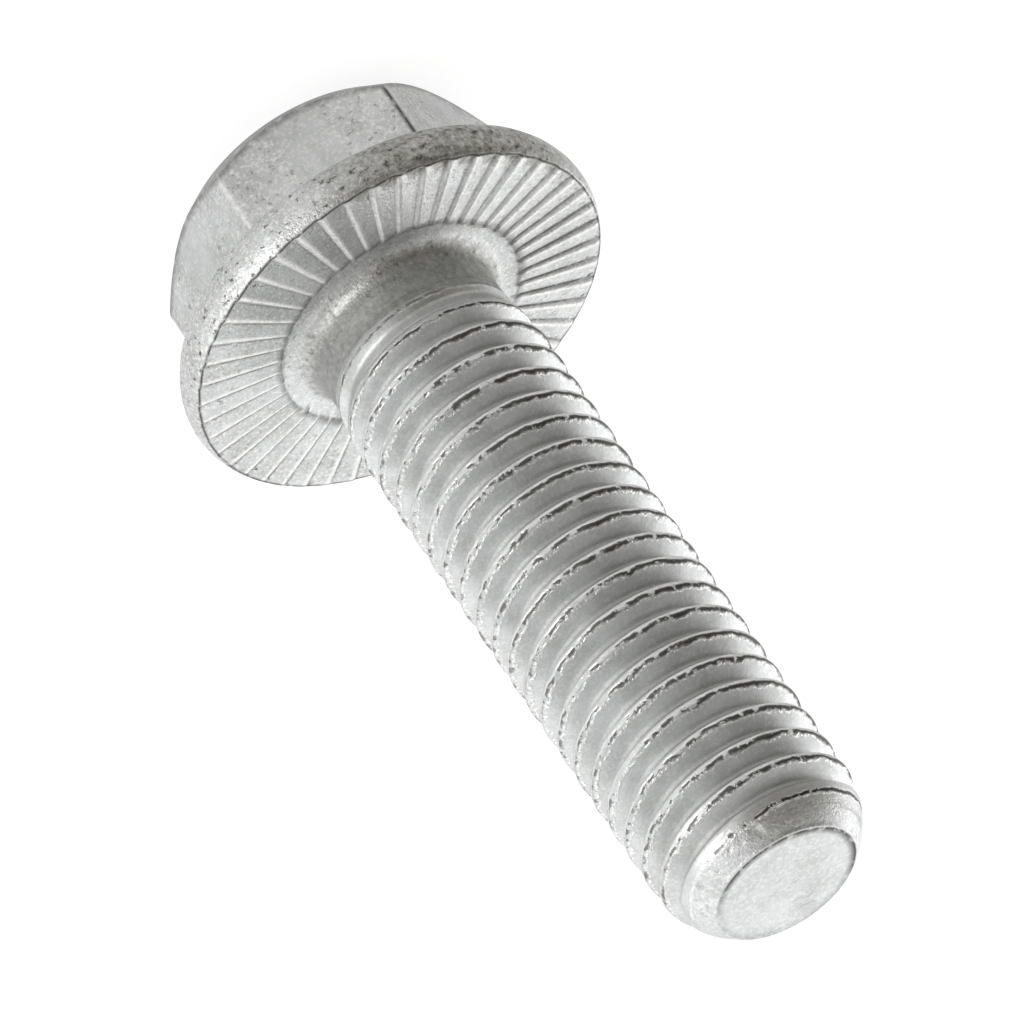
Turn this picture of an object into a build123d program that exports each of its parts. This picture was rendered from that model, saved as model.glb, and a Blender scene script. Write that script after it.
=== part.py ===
from build123d import *

# Hexagon flange bolt with a serrated bearing face, M10 x 1.5, 35 mm under the head.
#
# The bolt stands on its head: the origin is the centre of the head's flat top, +Z runs up
# the shank to the tip, and a corner of the hexagon points along +X. It is cold forged and
# thread rolled from one piece of wire, so it is one solid.

import os
from math import asin, cos, pi, radians, sin, sqrt, tan

# Head
head_height = 8.6
across_flats = 14.75
hex_corner_round = 0.25
top_face_radius = 6.5
top_chamfer_angle = 45.0

# Flange
flange_diameter = 20.74
rim_round = 1.77
rim_widest_depth = 1.0
flange_slope = 30.0

# Serrations under the flange; the first ridge lies at first_ridge_angle from +X
tooth_count = 48
tooth_depth = 0.28
steep_side_angle = 50.0
ridge_land_angle = 0.7
first_ridge_angle = 2.6
serration_inner_radius = 6.03
ring_depth = 0.2
ring_step_width = 0.12
tooth_edge_over = 0.04

# Shank. The fine thread, M10 x 1.5, is not cut: the shank is the plain form over its crests,
# which rises from the neck along the first thin crests
under_head_length = 35.0
neck_radius = 4.49
neck_fillet = 0.85
neck_length = 1.9
run_out_length = 3.0
major_diameter = 9.85
tip_radius = 3.37
tip_length = 3.2
tip_cone_count = 4

# How far a cut runs past the surface that it opens
cut_over = 0.12

# Places that follow from those sizes
bearing_z = head_height
tip_z = bearing_z + under_head_length
flange_radius = flange_diameter / 2
crest_radius = major_diameter / 2
full_crest_z = bearing_z + neck_length + run_out_length


def revolved(points_and_curves):
    """A solid of revolution about Z from curves drawn in the XZ plane."""
    return revolve(make_face(Plane.XZ * points_and_curves), Axis.Z)


def hexagon():
    """The wrenching hexagon, with softened corners and a chamfered top."""
    hexagon_outline = RegularPolygon(across_flats / 2, 6, major_radius=False)
    prism = extrude(
        fillet(hexagon_outline.vertices(), hex_corner_round), head_height - rim_widest_depth
    )
    corner_radius = across_flats / 2 / cos(radians(30))
    chamfer_height = (corner_radius - top_face_radius) * tan(radians(top_chamfer_angle))
    outline = Polyline(
        (0, 0),
        (top_face_radius, 0),
        (corner_radius, chamfer_height),
        (corner_radius, head_height),
        (0, head_height),
        close=True,
    )
    return prism & revolved(outline)


def flange():
    """The forged flange: a narrow edge that the teeth break, a rounded rim, a cone up to the hexagon."""
    rim_centre = (flange_radius - rim_round, bearing_z - rim_widest_depth)
    bearing_radius = rim_centre[0] + sqrt(rim_round**2 - rim_widest_depth**2)
    edge_depth = tooth_depth + tooth_edge_over
    edge_radius = rim_centre[0] + sqrt(rim_round**2 - (rim_widest_depth - edge_depth) ** 2)
    rim_start = (edge_radius, bearing_z - edge_depth)
    cone_start = (
        rim_centre[0] + rim_round * sin(radians(flange_slope)),
        rim_centre[1] - rim_round * cos(radians(flange_slope)),
    )
    cone_top = cone_start[1] - cone_start[0] * tan(radians(flange_slope))
    outline = (
        Polyline((0, bearing_z), (bearing_radius, bearing_z), rim_start)
        + ThreePointArc(rim_start, (flange_radius, rim_centre[1]), cone_start)
        + Polyline(cone_start, (0, cone_top), (0, bearing_z))
    )
    return revolved(outline)


def bearing_recess():
    """The shallow plain ring inside the serrations, cut as a disc before the shank is added."""
    floor = bearing_z - ring_depth
    outline = Polyline(
        (0, floor),
        (serration_inner_radius - ring_step_width, floor),
        (serration_inner_radius, bearing_z),
        (serration_inner_radius, bearing_z + ring_depth),
        (0, bearing_z + ring_depth),
        close=True,
    )
    return revolved(outline)


def tooth_gap():
    """The wedge between two ridges: one short steep side, one long gentle one, shallower inwards."""
    gap_angle = 2 * pi / tooth_count - radians(ridge_land_angle)
    corners = []
    for reach in (serration_inner_radius - ring_step_width - cut_over, flange_radius + cut_over):
        depth = tooth_depth * reach / flange_radius
        steep_width = depth / tan(radians(steep_side_angle))
        corners.append((reach, 0, bearing_z))
        corners.append((reach, steep_width, bearing_z - depth))
        corners.append((reach, reach * tan(gap_angle), bearing_z))
    return ConvexPolyhedron(corners)


def nose_points():
    """The rounded tip as short cones, between points of an arc that leaves the crests smoothly."""
    drop = crest_radius - tip_radius
    tip_round = (tip_length**2 + drop**2) / (2 * drop)
    whole_turn = asin(tip_length / tip_round)
    points = []
    for i in range(tip_cone_count + 1):
        turn = whole_turn * i / tip_cone_count
        radius = crest_radius - tip_round * (1 - cos(turn))
        points.append((radius, tip_z - tip_length + tip_round * sin(turn)))
    return points


def shank():
    """The shank: its foot and fillet, the neck, the form over the crests and the rounded tip."""
    floor = bearing_z - ring_depth
    foot_radius = neck_radius + neck_fillet
    foot_z = floor - neck_fillet
    foot_arc_middle = (
        foot_radius - neck_fillet * cos(pi / 4),
        floor + neck_fillet * (1 - sin(pi / 4)),
    )
    outline = (
        Polyline((0, foot_z), (foot_radius, foot_z), (foot_radius, floor))
        + ThreePointArc((foot_radius, floor), foot_arc_middle, (neck_radius, floor + neck_fillet))
        + Polyline(
            (neck_radius, floor + neck_fillet),
            (neck_radius, bearing_z + neck_length),
            (crest_radius, full_crest_z),
            *nose_points(),
            (0, tip_z),
            (0, foot_z),
        )
    )
    return revolved(outline)


def bolt():
    """The whole bolt as one solid."""
    gaps = PolarLocations(0, tooth_count, start_angle=first_ridge_angle) * tooth_gap()
    return hexagon() + (flange() - bearing_recess() - gaps) + shank()


if __name__ == "__main__":
    os.makedirs("parts", exist_ok=True)
    export_step(bolt(), "parts/flange_bolt.step")
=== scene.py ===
from math import atan, cos, pi, radians, sin, tan

import bpy
import numpy as np
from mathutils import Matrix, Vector


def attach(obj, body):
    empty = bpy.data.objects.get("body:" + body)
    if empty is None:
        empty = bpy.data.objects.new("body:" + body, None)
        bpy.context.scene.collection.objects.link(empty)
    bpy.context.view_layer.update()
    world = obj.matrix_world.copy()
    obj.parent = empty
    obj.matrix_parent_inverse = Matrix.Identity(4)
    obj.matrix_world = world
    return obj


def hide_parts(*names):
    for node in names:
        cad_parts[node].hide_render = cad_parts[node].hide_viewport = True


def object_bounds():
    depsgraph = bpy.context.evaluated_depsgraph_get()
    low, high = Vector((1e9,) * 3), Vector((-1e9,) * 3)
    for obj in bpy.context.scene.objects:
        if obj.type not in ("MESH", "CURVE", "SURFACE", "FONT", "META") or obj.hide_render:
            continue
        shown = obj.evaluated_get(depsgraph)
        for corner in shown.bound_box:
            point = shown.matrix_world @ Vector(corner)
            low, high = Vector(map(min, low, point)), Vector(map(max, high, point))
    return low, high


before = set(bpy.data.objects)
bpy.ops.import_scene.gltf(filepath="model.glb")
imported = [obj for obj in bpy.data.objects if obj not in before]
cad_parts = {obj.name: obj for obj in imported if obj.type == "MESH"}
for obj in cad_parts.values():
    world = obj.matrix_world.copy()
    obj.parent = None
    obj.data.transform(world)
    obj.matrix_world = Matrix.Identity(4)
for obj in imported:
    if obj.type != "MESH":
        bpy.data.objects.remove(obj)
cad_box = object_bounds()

bl_info = {
    "name": "Serrated Flange Bolt",
    "version": (1, 0, 0),
    "blender": (4, 5, 0),
    "location": "View3D > Sidebar > Flange Bolt",
    "description": "A zinc-flake coated hexagon flange bolt with a rolled thread",
    "category": "Add Mesh",
}

MM = 0.001
NODE = "flange_bolt"
BOLT = "dressed_bolt"
EDGES = "edge_wear_and_painted_light"
CREST = "crest_line"
PATCHES = "tarnish_and_shade_marks"
FLANGE_RADIUS = cad_box[1][0] / MM


class HeadSizes(bpy.types.PropertyGroup):
    """Sizes of the hexagon, the flange and its serrations, in millimetres."""

    height: bpy.props.FloatProperty(
        name="Head height", description="From the flat top to the bearing face", default=8.6
    )
    across_flats: bpy.props.FloatProperty(
        name="Across flats", description="Width of the hexagon over two flats", default=14.75
    )
    corner_round: bpy.props.FloatProperty(
        name="Corner round", description="Radius of the hexagon's corners", default=0.42
    )
    top_radius: bpy.props.FloatProperty(
        name="Top radius", description="Radius of the flat top inside its chamfer", default=6.5
    )
    rim_round: bpy.props.FloatProperty(
        name="Rim round", description="Radius of the flange's rounded rim", default=1.77
    )
    rim_depth: bpy.props.FloatProperty(
        name="Rim depth", description="Widest place of the rim below the bearing face", default=1.0
    )
    tooth_count: bpy.props.IntProperty(
        name="Serrations", description="Ridges round the bearing face", default=48
    )
    tooth_depth: bpy.props.FloatProperty(
        name="Serration depth", description="Depth of a valley near the flange's edge", default=0.15
    )
    edge_depth: bpy.props.FloatProperty(
        name="Edge depth", description="How far the face falls away at its edge", default=0.05
    )
    first_ridge: bpy.props.FloatProperty(
        name="First ridge", description="Degrees from a hexagon corner to a ridge", default=2.6
    )
    ring_radius: bpy.props.FloatProperty(
        name="Ring radius", description="Where the serrations end at the plain ring", default=6.03
    )
    ring_depth: bpy.props.FloatProperty(
        name="Ring depth", description="Depth of the plain ring round the neck", default=0.2
    )


class ShankSizes(bpy.types.PropertyGroup):
    """Sizes of the neck, the thread and the tip, in millimetres."""

    length: bpy.props.FloatProperty(
        name="Length", description="From the bearing face to the tip", default=35.0
    )
    neck_radius: bpy.props.FloatProperty(
        name="Neck radius", description="Radius of the plain neck", default=4.49
    )
    neck_fillet: bpy.props.FloatProperty(
        name="Neck fillet", description="Fillet between the neck and the plain ring", default=0.85
    )
    neck_length: bpy.props.FloatProperty(
        name="Neck length", description="Plain length before the first thin crests", default=1.9
    )
    pitch: bpy.props.FloatProperty(
        name="Pitch", description="Rise of the thread in one turn", default=1.5
    )
    crest_radius: bpy.props.FloatProperty(
        name="Crest radius", description="Radius over the thread's crests", default=4.925
    )
    root_radius: bpy.props.FloatProperty(
        name="Root radius", description="Radius at the thread's root", default=4.08
    )
    crest_offset: bpy.props.FloatProperty(
        name="Crest offset",
        description="Height of a crest over the bearing face at +X",
        default=1.235,
    )
    run_out: bpy.props.FloatProperty(
        name="Run-out", description="Length over which the thread rises at the neck", default=3.0
    )
    tip_radius: bpy.props.FloatProperty(
        name="Tip radius", description="Radius of the end face", default=3.37
    )
    tip_length: bpy.props.FloatProperty(
        name="Tip length", description="Length of the rounded tip", default=3.2
    )


class FinishSettings(bpy.types.PropertyGroup):
    """Colours of the coating, of what shows through it and of its painted highlights and shade, in
    sRGB hex.
    """

    coating: bpy.props.StringProperty(
        name="Coating", description="Silver-grey zinc flake", default="CCCECE"
    )
    shade: bpy.props.StringProperty(
        name="Coating, duller", description="Where the coating lies thinner", default="BBBDBC"
    )
    # Its darkening of the thread's root is partly a thicker coating and partly painted shade
    dull: bpy.props.StringProperty(
        name="Dull coating", description="Thick matt coating in the thread's root", default="8F8F8C"
    )
    # Also painted as highlights on the thread's crests, on the lit corners and on the ridges
    bare_and_highlight: bpy.props.StringProperty(
        name="Rubbed edge", description="Bright metal on rubbed edges", default="EDEDEA"
    )
    # Painted shade on the rim's dim side and on the neck under the flange, partly warm dirt
    tarnish_and_shade: bpy.props.StringProperty(
        name="Tarnish", description="Warm dull patches on the rim and the neck", default="77736A"
    )
    # Also painted shade along the seam, in creases, at edges, in valleys and on the shaded side
    grime_and_shade: bpy.props.StringProperty(
        name="Grime", description="Dark specks at edges and crests", default="2F2B27"
    )


class StageSettings(bpy.types.PropertyGroup):
    """The camera's lens, the lamps in watts and the room around them."""

    lens: bpy.props.FloatProperty(
        name="Lens", description="Focal length on a 36 mm sensor", default=331.2, unit="CAMERA"
    )
    key_power: bpy.props.FloatProperty(
        name="Key power",
        description="The low softbox at the camera's left",
        default=0.54,
        unit="POWER",
    )
    side_power: bpy.props.FloatProperty(
        name="Side power", description="The softbox at the far left", default=0.12, unit="POWER"
    )
    back_power: bpy.props.FloatProperty(
        name="Back power",
        description="The high softbox behind the bolt",
        default=0.1,
        unit="POWER",
    )
    low_power: bpy.props.FloatProperty(
        name="Low power",
        description="The low softbox behind the bolt",
        default=0.27,
        unit="POWER",
    )
    room_strength: bpy.props.FloatProperty(
        name="Room strength", description="Level of the room's white side", default=1.0
    )
    room_shade: bpy.props.StringProperty(
        name="Room shade", description="Warm dim side behind the camera, sRGB hex", default="5F574A"
    )


def linear(hex_colour):
    """An sRGB hex colour as linear RGBA."""
    parts = [int(hex_colour[i : i + 2], 16) / 255 for i in (0, 2, 4)]
    return tuple(c / 12.92 if c <= 0.04045 else ((c + 0.055) / 1.055) ** 2.4 for c in parts) + (1,)


def deselect_all():
    """Nothing selected and no mesh in edit mode."""
    if bpy.context.object and bpy.context.object.mode != "OBJECT":
        bpy.ops.object.mode_set(mode="OBJECT")
    bpy.ops.object.select_all(action="DESELECT")


def make_active(piece):
    """Only this piece selected and active."""
    deselect_all()
    piece.select_set(True)
    bpy.context.view_layer.objects.active = piece


def outline(name, points):
    """A line through points in the XZ plane, in mm, drawn from one vertex by extruding."""
    deselect_all()
    bpy.ops.mesh.primitive_plane_add(size=MM)
    piece = bpy.context.object
    piece.name = piece.data.name = name
    bpy.ops.object.mode_set(mode="EDIT")
    bpy.ops.mesh.select_all(action="SELECT")
    bpy.ops.mesh.merge(type="CENTER")
    at = Vector((points[0][0] * MM, 0, points[0][1] * MM))
    bpy.ops.transform.translate(value=at)
    for r, z in points[1:]:
        to = Vector((r * MM, 0, z * MM))
        bpy.ops.mesh.extrude_region_move(TRANSFORM_OT_translate={"value": to - at})
        at = to
    bpy.ops.object.mode_set(mode="OBJECT")
    return piece


def read_points(piece):
    """A piece's vertices as an array in mm."""
    flat = np.empty(len(piece.data.vertices) * 3)
    piece.data.vertices.foreach_get("co", flat)
    return flat.reshape(-1, 3) / MM


def write_points(piece, points):
    """Sets a piece's vertices from an array in mm."""
    piece.data.vertices.foreach_set("co", (points * MM).ravel())
    piece.data.update()


def polar(points):
    """Radius and angle, 0 to 2 pi, of each point about the axis."""
    return np.hypot(points[:, 0], points[:, 1]), np.arctan2(points[:, 1], points[:, 0]) % (2 * pi)


def smooth_step(low, high, value):
    """0 below low, 1 above high, and a smooth rise between."""
    t = np.clip((value - low) / (high - low), 0, 1)
    return t * t * (3 - 2 * t)


def soft_min(a, b, width):
    """The lesser of two arrays, with the corner where they cross rounded over width."""
    h = np.clip(0.5 + 0.5 * (b - a) / width, 0, 1)
    return b + (a - b) * h - width * h * (1 - h)


def soft_max(a, b, width):
    """The greater of two arrays, with the corner where they cross rounded over width."""
    return -soft_min(-a, -b, width)


# The head

# Within one serration, in degrees from its ridge: the mesh's columns, the bottom of its valley,
# where its gentle side meets the flat of the next ridge, and that ridge
COLUMNS = (0, 0.35, 0.85, 1.35, 1.85, 2.6, 3.5, 4.3, 4.9, 5.5, 6.2, 6.8)
VALLEY = 1.35
LAND = 6.8
TOOTH = 7.5

# How one serration differs from the next: the seeds for its depth and its inner end, the range
# of the change, and how many mm the inner end moves for a change of 1
DEPTH_SEED, RING_SEED = 1, 2
WOBBLE = (-0.18, 0.1)
RING_WOBBLE = 0.5

# Where the outline's points lie: radii, steps outwards and heights in mm, or shares of a length
TOP_RINGS = (0.0, 0.7, 2.2, 4.2, 5.7, 6.2)
TOP_EDGE = ((-0.14, 0.02), (0.0, 0.07), (0.12, 0.16))
CHAMFER_SHARES = (0.12, 0.35, 0.6, 0.8)
CHAMFER_EDGE = 0.16
CHAMFER_EDGE_SHARES = ((-0.7, -0.7), (-0.22, -0.05), (0.0, 0.6))
SIDE_SHARES = (0.08, 0.25, 0.45, 0.65, 0.85, 1.0)
HEX_FOOT = 0.4
HEX_FOOT_DROP = 0.58
HEX_FOOT_SHARES = ((0.05, 0.26), (0.2, 0.52))
CONE_SLOPE = radians(30)
CONE_SHARES = (0.0, 0.3, 0.65)
RIM_SHARES = (0, 0.14, 0.28, 0.42, 0.55, 0.68, 0.8, 0.9, 0.97)
FACE_EDGE_SHARES = ((0.008, 0.15), (0.035, 0.6), (0.07, 1.0))
FACE_SHARES = (0.2, 0.35, 0.5, 0.65, 0.8, 0.92)
RING_STEP = ((0.0, 0.1), (-0.08, 0.45), (-0.18, 0.85), (-0.28, 1.0))
RING_FLOOR = 0.12
FILLET_TURNS = (0, 15, 30, 45, 60, 75, 90)

# Shares of a valley's depth: what it takes off the rim, what it loses inwards, and where it ends
# at the ring
RIM_VALLEY = 0.25
INWARD_LOSS = 0.3
RING_VALLEY = 0.6


def hexagon_radius(sizes, angle):
    """Radius of the hexagon's side in a direction, with rounded corners; a corner lies at 0."""
    off_corner = (np.degrees(angle) + 30) % 60 - 30
    off_flat = np.radians(30 - np.abs(off_corner))
    off_corner = np.radians(off_corner)
    apothem = sizes.across_flats / 2
    flat = apothem / np.cos(off_flat)
    centre = (apothem - sizes.corner_round) / cos(radians(30))
    inside = np.maximum(sizes.corner_round**2 - (centre * np.sin(off_corner)) ** 2, 0)
    corner = centre * np.cos(off_corner) + np.sqrt(inside)
    reach = atan(sizes.corner_round / 2 / (centre + sizes.corner_round * cos(radians(30))))
    return np.where(np.abs(off_corner) < reach, corner, flat)


def tooth_stretch(sizes):
    """Degrees round the bolt for each degree of COLUMNS."""
    return 360 / sizes.tooth_count / TOOTH


def tooth_place(sizes, angle):
    """Place within a serration at an angle, in the degrees of COLUMNS."""
    return (np.degrees(angle) - sizes.first_ridge) / tooth_stretch(sizes) % TOOTH


def tooth_share(sizes, angle):
    """How deep a serration is at an angle, from 0 on its ridge to 1 in its valley."""
    place = tooth_place(sizes, angle)
    steep = place / VALLEY
    gentle = (LAND - place) / (LAND - VALLEY)
    return np.clip(np.minimum(steep, gentle), 0, 1)


def tooth_wobble(sizes, angle, seed):
    """A factor near 1 that differs a little from one serration to the next."""
    turn = (np.degrees(angle) - sizes.first_ridge) % 360
    index = np.floor(turn / (360 / sizes.tooth_count)).astype(int)
    rng = np.random.default_rng(seed)
    return (1 + rng.uniform(*WOBBLE, sizes.tooth_count))[index % sizes.tooth_count]


def hexagon_rows(sizes, side, foot_z):
    """Rows of (r, z) over the flat top, its chamfer and the hexagon's sides to their foot."""
    ones = np.ones_like(side)
    rows = [(r * ones, 0 * ones) for r in TOP_RINGS]
    rows += [((sizes.top_radius + out) * ones, z * ones) for out, z in TOP_EDGE]
    start_r, start_z = sizes.top_radius + TOP_EDGE[-1][0], TOP_EDGE[-1][1]
    chamfer_z = side - sizes.top_radius
    for share in CHAMFER_SHARES:
        rows.append((start_r + share * (side - start_r), start_z + share * (chamfer_z - start_z)))
    for out, up in CHAMFER_EDGE_SHARES:
        rows.append((side + out * CHAMFER_EDGE, chamfer_z + up * CHAMFER_EDGE))
    low_z = chamfer_z + CHAMFER_EDGE
    for share in SIDE_SHARES:
        rows.append((side, low_z + share * (foot_z - low_z)))
    for out, up in HEX_FOOT_SHARES:
        rows.append((side + out * HEX_FOOT, foot_z + up * HEX_FOOT))
    return rows


def face_rows(sizes, shank, edge_r, at_rim, valley, ring):
    """Rows of (r, z) over the serrated face, the plain ring and the neck's fillet."""
    rows = []
    for share, rise in FACE_EDGE_SHARES:
        r = edge_r + share * (ring - edge_r)
        rows.append((r, sizes.height - at_rim * (1 - rise) - valley * rise))
    for share in FACE_SHARES:
        r = edge_r + share * (ring - edge_r)
        rows.append((r, sizes.height - valley * (1 - INWARD_LOSS * share)))
    floor = sizes.height - sizes.ring_depth
    end_z = sizes.height - RING_VALLEY * valley
    for out, share in RING_STEP:
        rows.append((ring + out, end_z + share * (floor - end_z)))
    ones = np.ones_like(ring)
    foot_r = shank.neck_radius + shank.neck_fillet
    rows.append(((foot_r + RING_FLOOR) * ones, floor * ones))
    for turn in FILLET_TURNS:
        across = shank.neck_fillet * (1 - sin(radians(turn)))
        up = shank.neck_fillet * (1 - cos(radians(turn)))
        rows.append(((shank.neck_radius + across) * ones, (floor + up) * ones))
    return rows


def head_rows(sizes, shank, angle):
    """The head's outline at each angle, from the centre of its top to the neck, as (r, z) rows."""
    angle = np.atleast_1d(angle)
    side = hexagon_radius(sizes, angle)
    rim_r = FLANGE_RADIUS - sizes.rim_round
    rim_z = sizes.height - sizes.rim_depth
    cone_r = rim_r + sizes.rim_round * sin(CONE_SLOPE)
    cone_z = rim_z - sizes.rim_round * cos(CONE_SLOPE)

    foot_z = cone_z - (cone_r - side) * tan(CONE_SLOPE) - HEX_FOOT * HEX_FOOT_DROP
    rows = hexagon_rows(sizes, side, foot_z)
    start_r = side + HEX_FOOT / 2
    for share in CONE_SHARES:
        r = start_r + share * (cone_r - start_r)
        rows.append((r, cone_z - (cone_r - r) * tan(CONE_SLOPE)))

    valley = sizes.tooth_depth * tooth_share(sizes, angle) * tooth_wobble(sizes, angle, DEPTH_SEED)
    at_rim = sizes.edge_depth + RIM_VALLEY * valley
    junction = np.arcsin((sizes.rim_depth - at_rim) / sizes.rim_round)
    lowest = CONE_SLOPE - pi / 2
    for share in RIM_SHARES:
        turn = lowest + share * (junction - lowest)
        out, up = sizes.rim_round * np.cos(turn), sizes.rim_round * np.sin(turn)
        rows.append((rim_r + out, rim_z + up))
    edge_r = rim_r + sizes.rim_round * np.cos(junction)
    ring = sizes.ring_radius + RING_WOBBLE * (tooth_wobble(sizes, angle, RING_SEED) - 1)
    return rows + face_rows(sizes, shank, edge_r, at_rim, valley, ring)


class BOLT_OT_head(bpy.types.Operator):
    """Turns the head from its outline, then presses the flats and the serrations into it."""

    bl_idname = "bolt.head"
    bl_label = "Bolt Head"

    def execute(self, context):
        sizes, shank = context.scene.bolt_head, context.scene.bolt_shank
        columns = len(COLUMNS) * sizes.tooth_count
        at_corner = [(float(r[0]), float(z[0])) for r, z in head_rows(sizes, shank, 0.0)]
        piece = outline("head", at_corner)
        make_active(piece)
        bpy.ops.object.mode_set(mode="EDIT")
        bpy.ops.mesh.select_all(action="SELECT")
        bpy.ops.mesh.spin(steps=columns, angle=2 * pi, center=(0, 0, 0), axis=(0, 0, 1))
        bpy.ops.mesh.select_all(action="SELECT")
        bpy.ops.mesh.remove_doubles(threshold=MM / 1000)
        bpy.ops.object.mode_set(mode="OBJECT")

        # Each vertex still lies on its row of the corner's outline and on an evenly spaced column
        points = read_points(piece)
        radius, angle = polar(points)
        row_r, row_z = np.array(at_corner).T
        far = np.hypot(radius[:, None] - row_r, points[:, 2][:, None] - row_z)
        row = np.argmin(far, axis=1)
        column = np.rint(angle / (2 * pi / columns)).astype(int) % columns
        tooth, place = np.divmod(column, len(COLUMNS))
        stretch = tooth_stretch(sizes)
        into_tooth = np.array(COLUMNS)[place] * stretch
        turned = np.radians(sizes.first_ridge + tooth * (TOOTH * stretch) + into_tooth)
        for i, (r, z) in enumerate(head_rows(sizes, shank, turned)):
            here = row == i
            points[here, 0] = (r * np.cos(turned))[here]
            points[here, 1] = (r * np.sin(turned))[here]
            points[here, 2] = z[here]
        write_points(piece, points)
        return {"FINISHED"}


# The threaded shank

# Steps in one turn, and the outline's points from a crest towards the root, in mm
STEPS = 144
PROFILE = (0, 0.09, 0.13, 0.17, 0.25, 0.42, 0.53, 0.63)

# The thread's form: half a crest's width, half the angle between two flanks, and how widely the
# corners at the crest, at the root and at the trimmed ends are rounded
CREST_HALF = 0.13
FLANK_ANGLE = radians(30)
CREST_SOFTNESS = 0.06
ROOT_SOFTNESS = 0.22
TRIM_SOFTNESS = 0.05

# How far over the neck's surface the groove's floor starts, how high over the bearing face the
# shank is cut to meet the neck's fillet, and how far below the end it is cut to meet the tip's edge
GROOVE_START = 0.03
NECK_JOINT = 0.95
TIP_JOINT = 0.12


def thread_radius(shank, off_crest):
    """Radius of the rolled thread at an axial distance in mm from its crest."""
    off = np.abs(off_crest)
    flank = shank.crest_radius - (off - CREST_HALF) / tan(FLANK_ANGLE)
    rounded = soft_min(flank, shank.crest_radius * np.ones_like(off), CREST_SOFTNESS)
    return soft_max(rounded, shank.root_radius * np.ones_like(off), ROOT_SOFTNESS)


def envelope(shank, height):
    """Radius that the metal reaches at a height over the bearing face: neck, crests and tip."""
    drop = shank.crest_radius - shank.tip_radius
    tip_round = (shank.tip_length**2 + drop**2) / (2 * drop)
    up_tip = np.clip(height - (shank.length - shank.tip_length), 0, shank.tip_length)
    tip = shank.crest_radius - tip_round + np.sqrt(tip_round**2 - up_tip**2)
    rise = np.clip((height - shank.neck_length) / shank.run_out, 0, 1)
    neck = shank.neck_radius + rise * (shank.crest_radius - shank.neck_radius)
    return np.minimum(tip, neck)


def core(shank, height):
    """Radius that the groove leaves at a height: it grows deeper away from the neck."""
    at_neck = 1 - np.clip((height - shank.neck_length) / shank.run_out, 0, 1)
    return shank.root_radius + at_neck * (shank.neck_radius + GROOVE_START - shank.root_radius)


class BOLT_OT_shank(bpy.types.Operator):
    """Screws one pitch of the thread's outline up the shank and trims it to neck and tip."""

    bl_idname = "bolt.shank"
    bl_label = "Threaded Shank"

    def execute(self, context):
        head, shank = context.scene.bolt_head, context.scene.bolt_shank
        half_pitch = shank.pitch / 2
        places = [*PROFILE, half_pitch] + [shank.pitch - z for z in reversed(PROFILE)]
        off_crest = (np.array(places) + half_pitch) % shank.pitch - half_pitch
        low = head.height + shank.crest_offset - shank.pitch
        radii = thread_radius(shank, off_crest)
        piece = outline("shank", [(r, low + z) for r, z in zip(radii, places)])
        make_active(piece)
        screw = piece.modifiers.new("thread", "SCREW")
        screw.angle = 2 * pi
        screw.screw_offset = shank.pitch * MM
        screw.iterations = int((shank.length + shank.pitch) / shank.pitch) + 1
        screw.steps = screw.render_steps = STEPS
        screw.use_merge_vertices = False
        bpy.ops.object.modifier_apply(modifier="thread")
        bpy.ops.object.mode_set(mode="EDIT")
        bpy.ops.mesh.select_all(action="SELECT")
        bpy.ops.mesh.remove_doubles(threshold=MM / 1000)
        bpy.ops.object.mode_set(mode="OBJECT")

        points = read_points(piece)
        radius, angle = polar(points)
        height = points[:, 2] - head.height
        radius = soft_max(radius, core(shank, height), TRIM_SOFTNESS)
        radius = soft_min(radius, envelope(shank, height), TRIM_SOFTNESS)
        points[:, 0] = radius * np.cos(angle)
        points[:, 1] = radius * np.sin(angle)
        write_points(piece, points)
        trim(piece, head.height + NECK_JOINT, below=True)
        trim(piece, head.height + shank.length - TIP_JOINT, below=False)
        return {"FINISHED"}


def trim(piece, height, below):
    """Cuts a piece with a level plane at a height in mm and removes what lies beyond it."""
    make_active(piece)
    bpy.ops.object.mode_set(mode="EDIT")
    bpy.ops.mesh.select_all(action="SELECT")
    bpy.ops.mesh.bisect(
        plane_co=(0, 0, height * MM),
        plane_no=(0, 0, 1),
        clear_inner=below,
        clear_outer=not below,
        threshold=MM / 10000,
    )
    bpy.ops.object.mode_set(mode="OBJECT")


def select_open_edges(piece, low, high):
    """In edit mode, selects the open edges between two heights in mm."""
    bpy.ops.mesh.select_mode(type="EDGE")
    bpy.ops.mesh.select_all(action="SELECT")
    bpy.ops.mesh.region_to_loop()
    bpy.ops.object.mode_set(mode="OBJECT")
    mesh = piece.data
    for edge in mesh.edges:
        if edge.select:
            z = mesh.vertices[edge.vertices[0]].co.z / MM
            edge.select = low <= z <= high
    bpy.ops.object.mode_set(mode="EDIT")


# What the finish reads from the mesh

# Reach in mm over which the nearness to a crest falls to 0, and where the marks on the crests
# start and end along the shank
CREST_REACH = 0.75
MARKS_RISE = 1.0
MARKS_END = 1.0
MARKS_FADE = 0.3

# Degrees from +X: the side where painted shade darkens the crests and corners; the side of the
# rim's tarnish and painted shade and of the painted shade on the tip's edge, and its half width on
# the rim; and the lit side, where the valleys' painted shade is lighter
SHADED_SIDE = 180
TARNISH_AND_SHADE_SIDE = 238
TARNISH_AND_SHADE_HALF = 48
LIT_SIDE = 265

# Half widths of lines in degrees: a ridge, rubbed and painted with a highlight, with its soft edge,
# a corner and a valley
RIDGE_LINE, RIDGE_SOFT = 1.0, 0.65
CORNER_LINE = 1.3
VALLEY_LINE = 0.6

# How grainy the coating is in each zone, the first that holds a point counting, and elsewhere
GRAIN = (
    ("rim", 1.0),
    ("cone", 0.7),
    ("face", 0.6),
    ("ring", 0.65),
    ("end", 0.4),
    ("nose", 0.62),
    ("shank", 0.25),
)
PLAIN_GRAIN = 0.36


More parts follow.
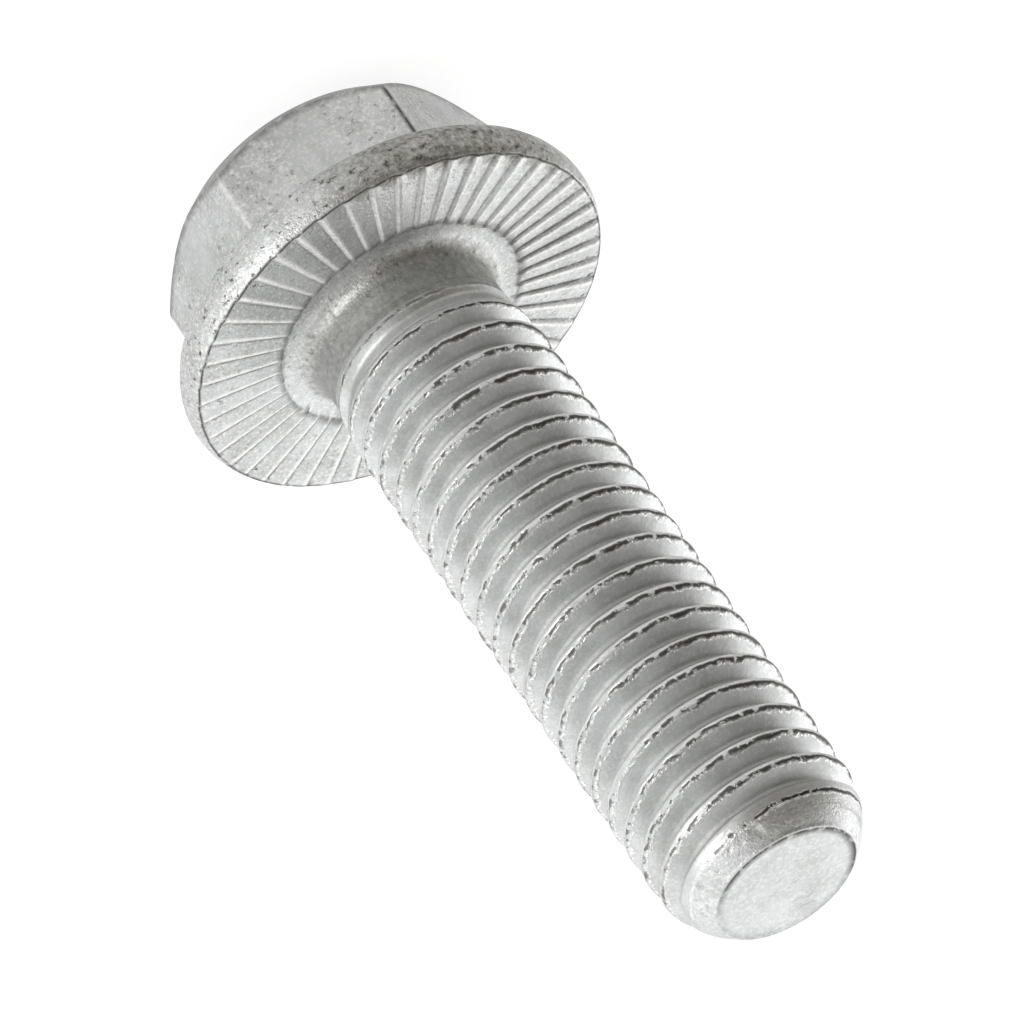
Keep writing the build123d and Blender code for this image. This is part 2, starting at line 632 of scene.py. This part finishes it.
def zones(points, head, shank):
    """Which points lie on each part of the surface; bounds in mm, heights over the bearing face."""
    radius, angle = polar(points)
    height = points[:, 2] - head.height
    outer, half_flats = FLANGE_RADIUS, head.across_flats / 2
    above_chamfer = points[:, 2] < hexagon_radius(head, angle) - head.top_radius + 0.13
    low_neck = (height > -0.2) & (height < shank.neck_length + 0.4)
    return {
        "flats": height < -1.5,
        "chamfer": above_chamfer & (radius > head.top_radius + 0.1) & (height < -6),
        "side": (radius > half_flats - 0.05) & (height < -3.3) & (height > 1 - head.height),
        "cone": (radius > half_flats + 0.1) & (height < -0.1),
        "rim": (radius > outer - 1.2) & (height < -0.1),
        "outer rim": (radius > outer - 0.9) & (height < -0.04),
        "face edge": (np.abs(radius - (outer - 0.33)) < 0.06) & (np.abs(height) < 0.2),
        "face": (radius > head.ring_radius + 0.05) & (radius < outer - 0.27) & (height > -0.35),
        "ring edge": (np.abs(radius - head.ring_radius) < 0.1) & (np.abs(height) < 0.35),
        "ring": (radius < head.ring_radius) & (radius > shank.neck_radius) & (np.abs(height) < 1.2),
        "neck": (radius < shank.neck_radius + 0.5) & low_neck,
        "shank": height > 1.5,
        "thread": (height > shank.neck_length) & (height < shank.length - 0.75),
        "nose": height > shank.length - 0.95,
        "tip": height > shank.length - 0.9,
        "tip rim": (height > shank.length - 0.08) & (np.abs(radius - shank.tip_radius) < 0.035),
        "end": (height > shank.length - 0.03) & (radius < shank.tip_radius - 0.05),
    }


def crest_marks(points, head, shank):
    """Each point's distance in mm from the crest line, its nearness to it, and 1 on the thread."""
    angle = polar(points)[1]
    height = points[:, 2] - head.height
    turns = (height - shank.crest_offset) / shank.pitch - angle / (2 * pi)
    off = (turns - np.rint(turns)) * shank.pitch
    last = shank.length - MARKS_END
    threaded = smooth_step(shank.neck_length, shank.neck_length + MARKS_RISE, height)
    threaded = threaded * (1 - smooth_step(last, last + MARKS_FADE, height))
    near = np.clip(1 - np.abs(off) / CREST_REACH, 0, 1)
    return np.stack((off, near, threaded), axis=1)


def edge_wear_and_painted_light(points, head, shank):
    """How rubbed and highlit, how dark with painted shade, and how grainy the coating is at each
    point, each from 0 to 1.
    """
    angle = polar(points)[1]
    zone = zones(points, head, shank)
    place = tooth_place(head, angle)
    past_middle = place + (TOOTH - LAND) / 2
    off_ridge = np.abs((past_middle + TOOTH / 2) % TOOTH - TOOTH / 2)
    ridge = np.clip((RIDGE_LINE - off_ridge) / RIDGE_SOFT, 0, 1) * zone["face"]
    off_corner = np.abs((np.degrees(angle) + 30) % 60 - 30)
    corner = np.clip(1 - off_corner / CORNER_LINE, 0, 1) * zone["side"]
    # Corners facing away from the shaded side get a painted highlight and those facing it get
    # painted shade; the ridges' tops are partly rubbed and partly a painted highlight
    to_shaded_side = np.cos(angle - radians(SHADED_SIDE))
    rubbed_and_highlit = np.maximum(ridge, corner * (to_shaded_side <= 0))

    # Painted shade: lines in the serrations' valleys, lighter on the lit side, and at the face's
    # edge, the ring's edge, the chamfer and the tip's edge; darker on the crests towards the shaded
    # side, and on the corners of that side
    valley = np.clip(1 - np.abs(place - VALLEY) / VALLEY_LINE, 0, 1) * zone["face"]
    lit_share = smooth_step(0.3, 0.9, np.cos(angle - radians(LIT_SIDE)))
    tip_shade = smooth_step(-0.4, 0.3, np.cos(angle - radians(TARNISH_AND_SHADE_SIDE)))
    painted_shade_levels = {
        "tip rim": 0.3 + 0.7 * tip_shade,
        "face edge": 1.0,
        "ring edge": 0.5,
        "chamfer": 0.5,
        "thread": 0.6 + 0.4 * to_shaded_side,
    }
    elsewhere = np.maximum(corner * (to_shaded_side > 0), valley * (0.6 - 0.35 * lit_share))
    painted_shade = np.select([zone[name] for name in painted_shade_levels], list(painted_shade_levels.values()), elsewhere)
    grain = np.select([zone[name] for name, _ in GRAIN], [g for _, g in GRAIN], PLAIN_GRAIN)
    return np.stack((rubbed_and_highlit, painted_shade, grain), axis=1)


def tarnish_and_shade_marks(points, head, shank):
    """How tarnished and shaded a point is from 0 to 1, with painted shade on the rim's dim side and
    on the neck under the flange, 1 where dents may lie, and 1 on the thread.
    """
    angle = polar(points)[1]
    zone = zones(points, head, shank)
    facing = np.cos(angle - radians(TARNISH_AND_SHADE_SIDE))
    on_rim = smooth_step(cos(radians(TARNISH_AND_SHADE_HALF)), 1, facing) * zone["outer rim"]
    tarnished_and_shaded = np.maximum(on_rim, 0.6 * zone["neck"])
    return np.stack((tarnished_and_shaded, 1.0 * (zone["flats"] | zone["tip"]), 1.0 * zone["thread"]), axis=1)


def store_marks(piece, name, values):
    """Keeps three values for each vertex under a name that the finish reads."""
    marks = piece.data.attributes.new(name, "FLOAT_VECTOR", "POINT")
    marks.data.foreach_set("vector", values.ravel())


# The tip's edge and the rings of the end face, from the trimmed shank inwards: a step outwards
# from the tip's radius and a height over the end, in mm
TIP_RINGS = (
    (0.06, -TIP_JOINT),
    (0.03, -0.05),
    (-0.02, -0.012),
    (-0.1, 0.0),
    (-0.47, 0.0),
    (-1.07, 0.0),
    (-1.77, 0.0),
    (-2.57, 0.0),
)
SMOOTH_UP_TO = radians(38)


class BOLT_OT_whole(bpy.types.Operator):
    """Closes the tip, joins the head to the shank and finishes the mesh."""

    bl_idname = "bolt.whole"
    bl_label = "Whole Bolt"

    def execute(self, context):
        head, shank = context.scene.bolt_head, context.scene.bolt_shank
        top = head.height + shank.length
        piece = bpy.data.objects["shank"]
        make_active(piece)
        bpy.ops.object.mode_set(mode="EDIT")
        select_open_edges(piece, top - 1, top + 1)
        for (out, up), (next_out, next_up) in zip(TIP_RINGS, TIP_RINGS[1:]):
            share = (shank.tip_radius + next_out) / (shank.tip_radius + out)
            bpy.ops.mesh.extrude_edges_move(
                TRANSFORM_OT_translate={"value": (0, 0, (next_up - up) * MM)}
            )
            bpy.ops.transform.resize(value=(share, share, 1), center_override=(0, 0, 0))
        bpy.ops.mesh.merge(type="COLLAPSE")
        bpy.ops.object.mode_set(mode="OBJECT")

        make_active(piece)
        bpy.data.objects["head"].select_set(True)
        bpy.ops.object.join()
        piece.name = piece.data.name = BOLT
        bpy.ops.object.mode_set(mode="EDIT")
        select_open_edges(piece, head.height, head.height + 2)
        bpy.ops.mesh.bridge_edge_loops()
        bpy.ops.mesh.select_all(action="SELECT")
        bpy.ops.mesh.normals_make_consistent(inside=False)
        bpy.ops.object.mode_set(mode="OBJECT")
        bpy.ops.object.shade_smooth_by_angle(angle=SMOOTH_UP_TO)
        points = read_points(piece)
        store_marks(piece, CREST, crest_marks(points, head, shank))
        store_marks(piece, EDGES, edge_wear_and_painted_light(points, head, shank))
        store_marks(piece, PATCHES, tarnish_and_shade_marks(points, head, shank))
        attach(piece, "root")
        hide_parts(NODE)
        return {"FINISHED"}


# The finish

# A Map Range's inputs are its value, 1 and 2 for the ends that it is read between, and 3 and 4 for
# what it gives there, 0 and 1 if not set
NOISE = "ShaderNodeTexNoise"
RANGE = "ShaderNodeMapRange"
MATHS = "ShaderNodeMath"
MIX = "ShaderNodeMixRGB"
PARTS = "ShaderNodeSeparateXYZ"
MARKS = "ShaderNodeAttribute"

# How far the seam lies from the crest towards the tip, and how far it wanders, in mm
SEAM = 0.1
SEAM_WANDER = 0.06

# The finish's noises: the size of a spot in mm and its detail. The real flakes are some hundredths
# of a mm, and the finest noise is drawn at a tenth so that it shows
SPOTS = {
    "flake": (0.11, 2),
    "fleck": (0.17, 2),
    "speck": (0.3, 3),
    "patch": (0.5, 3),
    "wander": (0.8, 2),
    "dent": (1.1, 1),
    "mottle": (1.9, 3),
}

# Heights in mm
FLAKE_HEIGHT = 0.045
LIP_HEIGHT = 0.02
CREASE_DEPTH = 0.03
DENT_DEPTH = 0.05


def add_node(tree, kind, inputs=None, **settings):
    """Adds a node with its settings; an input takes a value, a socket, or a node's first output."""
    node = tree.nodes.new(kind)
    for key, value in settings.items():
        setattr(node, key, value)
    for key, value in (inputs or {}).items():
        if isinstance(value, bpy.types.Node):
            value = value.outputs[0]
        if isinstance(value, bpy.types.NodeSocket):
            tree.links.new(value, node.inputs[key])
        else:
            node.inputs[key].default_value = value
    return node


class BOLT_OT_finish(bpy.types.Operator):
    """Gives the bolt its zinc flake coating, its rubbed edges with painted highlights and its
    creases with painted shade.
    """

    bl_idname = "bolt.finish"
    bl_label = "Zinc Flake Finish"

    def execute(self, context):
        colours = context.scene.bolt_finish
        # Zinc flake: aluminium and zinc scales in a baked binder over cold-formed steel, so a
        # matt silver grey with a fine sparkle and no colour of its own.
        coat = bpy.data.materials.new("zinc_flake_coating")
        coat.use_nodes = True
        tree = coat.node_tree
        shader = tree.nodes["Principled BSDF"]
        place = add_node(tree, "ShaderNodeTexCoord").outputs["Object"]

        edges = add_node(tree, MARKS, attribute_name=EDGES).outputs["Vector"]
        rubbed_and_highlit, painted_shade, grain = add_node(tree, PARTS, {0: edges}).outputs
        crest = add_node(tree, MARKS, attribute_name=CREST).outputs["Vector"]
        off, near, on_thread = add_node(tree, PARTS, {0: crest}).outputs
        patches = add_node(tree, MARKS, attribute_name=PATCHES).outputs["Vector"]
        tarnished_and_shaded, dentable, screwed = add_node(tree, PARTS, {0: patches}).outputs

        spots = {}
        for name, (size, detail) in SPOTS.items():
            drawn = {"Vector": place, "Scale": 1 / (size * MM), "Detail": detail, "Roughness": 0.6}
            spots[name] = add_node(tree, NOISE, drawn)

        # Axial distance from the seam that thread rolling leaves along the crest
        ends = {1: 0.3, 2: 0.7, 3: -SEAM - SEAM_WANDER, 4: -SEAM + SEAM_WANDER}
        wander = add_node(tree, RANGE, {0: spots["wander"], **ends})
        from_seam = add_node(tree, MATHS, {0: off, 1: wander}, operation="ADD")
        by_crest = add_node(tree, RANGE, {0: near, 1: 0.5, 2: 0.6})
        threaded = add_node(tree, MATHS, {0: by_crest, 1: on_thread}, operation="MULTIPLY")

        # The seam is a dark line of grime, in dashes on the lit side and whole on the shaded side,
        # where its extra darkness is painted shade
        beside = add_node(tree, MATHS, {0: from_seam}, operation="ABSOLUTE")
        seam_and_shade = add_node(tree, RANGE, {0: beside, 1: 0.04, 2: 0.11, 3: 1, 4: 0})
        joined = add_node(tree, RANGE, {0: painted_shade, 1: 0.3, 2: 0.95, 3: 0.0, 4: 0.2})
        joined = add_node(tree, MATHS, {0: spots["patch"], 1: joined}, operation="ADD")
        broken = add_node(tree, RANGE, {0: joined, 1: 0.52, 2: 0.58})
        seam_shade = add_node(tree, RANGE, {0: painted_shade, 1: 0.0, 2: 0.8, 3: 0.6, 4: 0.95})
        for share in (threaded, broken, seam_shade):
            seam_and_shade = add_node(tree, MATHS, {0: seam_and_shade, 1: share}, operation="MULTIPLY")

        # A ragged lip on its tip side, raised by the bump and painted bright as a highlight
        lip = add_node(tree, RANGE, {0: from_seam, 1: 0.06, 2: 0.1})
        lip_end = add_node(tree, RANGE, {0: from_seam, 1: 0.13, 2: 0.18, 3: 1, 4: 0})
        ragged = add_node(tree, RANGE, {0: spots["fleck"], 1: 0.4, 2: 0.6})
        for share in (lip_end, threaded, ragged):
            lip = add_node(tree, MATHS, {0: lip, 1: share}, operation="MULTIPLY")

        # On its head side, a painted highlight in patches, on the lit side only
        lit_side_highlight = add_node(tree, RANGE, {0: from_seam, 1: -0.2, 2: -0.14})
        line_end = add_node(tree, RANGE, {0: from_seam, 1: -0.08, 2: -0.03, 3: 1, 4: 0})
        patchy = add_node(tree, RANGE, {0: spots["patch"], 1: 0.42, 2: 0.56, 3: 0.3, 4: 1})
        lit_share = add_node(tree, RANGE, {0: painted_shade, 1: 0.5, 2: 0.95, 3: 1, 4: 0.1})
        for share in (line_end, patchy, lit_share, threaded):
            lit_side_highlight = add_node(tree, MATHS, {0: lit_side_highlight, 1: share}, operation="MULTIPLY")
        painted_highlight = add_node(tree, MATHS, {0: lip, 1: lit_side_highlight}, operation="MAXIMUM")
        in_root = add_node(tree, RANGE, {0: near, 1: 0.12, 2: 0.35, 3: 1, 4: 0})
        root = add_node(tree, MATHS, {0: in_root, 1: on_thread}, operation="MULTIPLY")

        # Dark specks where the coating is grainy, and painted shade in creases, at edges, in
        # valleys and on the shaded side
        speck = add_node(tree, RANGE, {0: spots["speck"], 1: 0.6, 2: 0.68})
        grainy = add_node(tree, RANGE, {0: grain, 1: 0.4, 2: 1.0, 3: 0.0, 4: 0.8})
        speckled = add_node(tree, MATHS, {0: speck, 1: grainy}, operation="MULTIPLY")
        crease_shade = add_node(tree, RANGE, {0: spots["patch"], 1: 0.28, 2: 0.48})
        off_thread = add_node(tree, MATHS, {0: 1.0, 1: screwed}, operation="SUBTRACT")
        for share in (painted_shade, off_thread):
            crease_shade = add_node(tree, MATHS, {0: crease_shade, 1: share}, operation="MULTIPLY")
        dirt_and_shade = add_node(tree, MATHS, {0: speckled, 1: crease_shade}, operation="MAXIMUM")
        dirt_and_shade = add_node(tree, MATHS, {0: dirt_and_shade, 1: seam_and_shade}, operation="MAXIMUM")

        # Colours, from the plain coating to what lies over it, painted highlights and painted shade
        # among them
        mottle = add_node(tree, RANGE, {0: spots["mottle"], 1: 0.38, 2: 0.62})
        plain = {0: mottle, 1: linear(colours.coating), 2: linear(colours.shade)}
        tone = add_node(tree, MIX, plain)
        flecks = add_node(tree, RANGE, {0: spots["fleck"], 1: 0.48, 2: 0.66})
        shine = add_node(tree, RANGE, {0: grain, 1: 0, 2: 1, 3: 0.1, 4: 0.85})
        sparkle = add_node(tree, MATHS, {0: flecks, 1: shine}, operation="MULTIPLY")
        # The root's darker colour: partly a thicker matt coating, partly painted shade in the
        # groove
        matt = add_node(tree, MATHS, {0: root, 1: 0.45}, operation="MULTIPLY")
        wear = add_node(tree, RANGE, {0: spots["speck"], 1: 0.35, 2: 0.55, 3: 0.2, 4: 0.9})
        worn_and_highlit = add_node(tree, MATHS, {0: rubbed_and_highlit, 1: wear}, operation="MULTIPLY")
        blotch = add_node(tree, RANGE, {0: spots["speck"], 1: 0.35, 2: 0.6, 3: 0.35, 4: 0.9})
        # Painted shade with a blotchy edge, partly warm dirt
        tarnish_and_shade = add_node(tree, MATHS, {0: tarnished_and_shaded, 1: blotch}, operation="MULTIPLY")
        layers = (
            (sparkle, colours.bare_and_highlight),
            (matt, colours.dull),
            (worn_and_highlit, colours.bare_and_highlight),
            (painted_highlight, colours.bare_and_highlight),
            (tarnish_and_shade, colours.tarnish_and_shade),
            (dirt_and_shade, colours.grime_and_shade),
        )
        for share, colour in layers:
            tone = add_node(tree, MIX, {0: share, 1: tone, 2: linear(colour)})
        tree.links.new(tone.outputs[0], shader.inputs["Base Color"])
        shader.inputs["Metallic"].default_value = 0.8

        # Smoother on flakes and on the painted highlights, rougher in the root
        rough = add_node(tree, RANGE, {0: spots["flake"], 1: 0.3, 2: 0.7, 3: 0.5, 4: 0.36})
        for layer, change in ((painted_highlight, -0.18), (root, 0.15)):
            step = add_node(tree, MATHS, {0: layer, 1: change}, operation="MULTIPLY")
            rough = add_node(tree, MATHS, {0: rough, 1: step}, operation="ADD")
        tree.links.new(rough.outputs[0], shader.inputs["Roughness"])

        height = add_node(tree, MATHS, {0: grain, 1: FLAKE_HEIGHT}, operation="MULTIPLY")
        height = add_node(tree, MATHS, {0: height, 1: spots["flake"]}, operation="MULTIPLY")
        dent = add_node(tree, RANGE, {0: spots["dent"], 1: 0.64, 2: 0.76})
        dent = add_node(tree, MATHS, {0: dent, 1: dentable}, operation="MULTIPLY")
        for layer, rise in ((lip, LIP_HEIGHT), (dirt_and_shade, -CREASE_DEPTH), (dent, -DENT_DEPTH)):
            step = add_node(tree, MATHS, {0: layer, 1: rise}, operation="MULTIPLY")
            height = add_node(tree, MATHS, {0: height, 1: step}, operation="ADD")
        bump = add_node(tree, "ShaderNodeBump", {"Strength": 1.0, "Distance": MM, "Height": height})
        tree.links.new(bump.outputs[0], shader.inputs["Normal"])

        piece = bpy.data.objects[BOLT]
        piece.data.materials.clear()
        piece.data.materials.append(coat)
        return {"FINISHED"}


# The stage, in metres and degrees

FLOOR_SIZE = 4
WHITE = (1, 1, 1, 1)

# The paper's colour for light that bounces, its colour where the camera or the metal sees it, and
# the white that is added there for each of them
PAPER = "E8E7E5"
PAPER_SEEN = "8A8A8A"
CAMERA_WHITE = 0.87
METAL_WHITE = 0.7

SOFTBOX_SIZE = 0.24
SOFTBOX_DISTANCE = 0.3
SOFTBOX_CENTRE = Vector((0, 0, 0.02))

# The way to the middle of the room's white side
WHITE_SIDE = Vector((cos(radians(60)), sin(radians(60)), sin(radians(10))))

CAMERA_AT = (0.05022, -0.34133, 0.24632)
CAMERA_TURN = (radians(-51.535), radians(-28.202), radians(167.675))


def add_softbox(name, azimuth, elevation, power):
    """A square area lamp that faces the bolt from an azimuth and elevation."""
    turn, lift = radians(azimuth), radians(elevation)
    way = Vector((cos(lift) * cos(turn), cos(lift) * sin(turn), sin(lift)))
    deselect_all()
    bpy.ops.object.light_add(type="AREA", location=SOFTBOX_CENTRE + way * SOFTBOX_DISTANCE)
    lamp = bpy.context.object
    lamp.name = lamp.data.name = name
    lamp.data.shape = "SQUARE"
    lamp.data.size = SOFTBOX_SIZE
    lamp.data.energy = power
    lamp.rotation_euler = way.to_track_quat("Z", "Y").to_euler()


def white_paper():
    """The floor's material."""
    # A sheet of matt white paper, which the camera and the metal see as plain white.
    paper = bpy.data.materials.new("white_paper")
    paper.use_nodes = True
    tree = paper.node_tree
    tree.nodes.remove(tree.nodes["Principled BSDF"])
    matt = add_node(tree, "ShaderNodeBsdfDiffuse", {"Color": linear(PAPER)})
    seen = add_node(tree, "ShaderNodeBsdfDiffuse", {"Color": linear(PAPER_SEEN)})
    path = add_node(tree, "ShaderNodeLightPath")
    to_metal = path.outputs["Is Glossy Ray"]
    level = add_node(tree, RANGE, {0: to_metal, 3: CAMERA_WHITE, 4: METAL_WHITE})
    white = add_node(tree, "ShaderNodeEmission", {"Strength": level})
    shown = add_node(tree, "ShaderNodeAddShader", {0: seen, 1: white})
    rays = {0: path.outputs["Is Camera Ray"], 1: to_metal}
    sees_white = add_node(tree, MATHS, rays, operation="MAXIMUM")
    mix = add_node(tree, "ShaderNodeMixShader", {0: sees_white, 1: matt, 2: shown})
    tree.links.new(mix.outputs[0], tree.nodes["Material Output"].inputs["Surface"])
    return paper


def studio_room(settings):
    """A world that is white on the far side and dim behind the camera's right shoulder."""
    world = bpy.data.worlds.new("studio")
    world.use_nodes = True
    tree = world.node_tree
    room = tree.nodes["Background"]
    way_out = add_node(tree, "ShaderNodeTexCoord").outputs["Generated"]
    ways = {0: way_out, 1: WHITE_SIDE}
    facing = add_node(tree, "ShaderNodeVectorMath", ways, operation="DOT_PRODUCT").outputs["Value"]
    ends = {0: facing, 1: -0.6, 2: 0.2}
    share = add_node(tree, RANGE, ends, interpolation_type="SMOOTHSTEP")
    tint = add_node(tree, MIX, {0: share, 1: linear(settings.room_shade), 2: WHITE})
    tree.links.new(tint.outputs[0], room.inputs["Color"])
    room.inputs["Strength"].default_value = settings.room_strength
    plain = add_node(tree, "ShaderNodeBackground", {"Color": WHITE, "Strength": 1.0})
    seen = add_node(tree, "ShaderNodeLightPath").outputs["Is Camera Ray"]
    choice = add_node(tree, "ShaderNodeMixShader", {0: seen, 1: room, 2: plain})
    tree.links.new(choice.outputs[0], tree.nodes["World Output"].inputs["Surface"])
    return world


class BOLT_OT_stage(bpy.types.Operator):
    """Adds the floor, the lamps, the world and the camera."""

    bl_idname = "bolt.stage"
    bl_label = "Stage"

    def execute(self, context):
        settings = context.scene.bolt_stage
        deselect_all()
        bpy.ops.mesh.primitive_plane_add(size=FLOOR_SIZE)
        floor = context.object
        floor.name = floor.data.name = "floor"
        floor.data.materials.append(white_paper())

        add_softbox("key", 320, 12, settings.key_power)
        add_softbox("side", 45, 25, settings.side_power)
        add_softbox("back", 105, 32, settings.back_power)
        add_softbox("low back", 138, 8, settings.low_power)
        context.scene.world = studio_room(settings)

        deselect_all()
        bpy.ops.object.camera_add(location=CAMERA_AT, rotation=CAMERA_TURN)
        camera = context.object
        camera.data.lens = settings.lens
        camera.data.clip_start = 0.01
        context.scene.camera = camera
        context.scene.view_settings.view_transform = "Standard"
        return {"FINISHED"}


class BOLT_PT_panel(bpy.types.Panel):
    """Lists the bolt's steps in the sidebar."""

    bl_idname = "BOLT_PT_panel"
    bl_label = "Flange Bolt"
    bl_space_type = "VIEW_3D"
    bl_region_type = "UI"
    bl_category = "Flange Bolt"

    def draw(self, context):
        for step in STEPS_IN_ORDER:
            self.layout.operator(step.bl_idname)
        for name in GROUPS:
            settings = getattr(context.scene, name)
            for key in settings.bl_rna.properties.keys():
                if key not in ("rna_type", "name"):
                    self.layout.prop(settings, key)


STEPS_IN_ORDER = (BOLT_OT_head, BOLT_OT_shank, BOLT_OT_whole, BOLT_OT_finish, BOLT_OT_stage)
GROUPS = {
    "bolt_head": HeadSizes,
    "bolt_shank": ShankSizes,
    "bolt_finish": FinishSettings,
    "bolt_stage": StageSettings,
}


def register():
    """Registers the settings, the steps and the panel."""
    for group in GROUPS.values():
        bpy.utils.register_class(group)
    for step in STEPS_IN_ORDER + (BOLT_PT_panel,):
        bpy.utils.register_class(step)
    for name, group in GROUPS.items():
        setattr(bpy.types.Scene, name, bpy.props.PointerProperty(type=group))


def unregister():
    """Takes back what register added."""
    for name in GROUPS:
        delattr(bpy.types.Scene, name)
    for step in (BOLT_PT_panel,) + STEPS_IN_ORDER[::-1]:
        bpy.utils.unregister_class(step)
    for group in GROUPS.values():
        bpy.utils.unregister_class(group)


def main():
    """Makes the bolt and its stage."""
    register()
    bpy.ops.bolt.head()
    bpy.ops.bolt.shank()
    bpy.ops.bolt.whole()
    bpy.ops.bolt.finish()
    bpy.ops.bolt.stage()


if __name__ == "__main__":
    main()
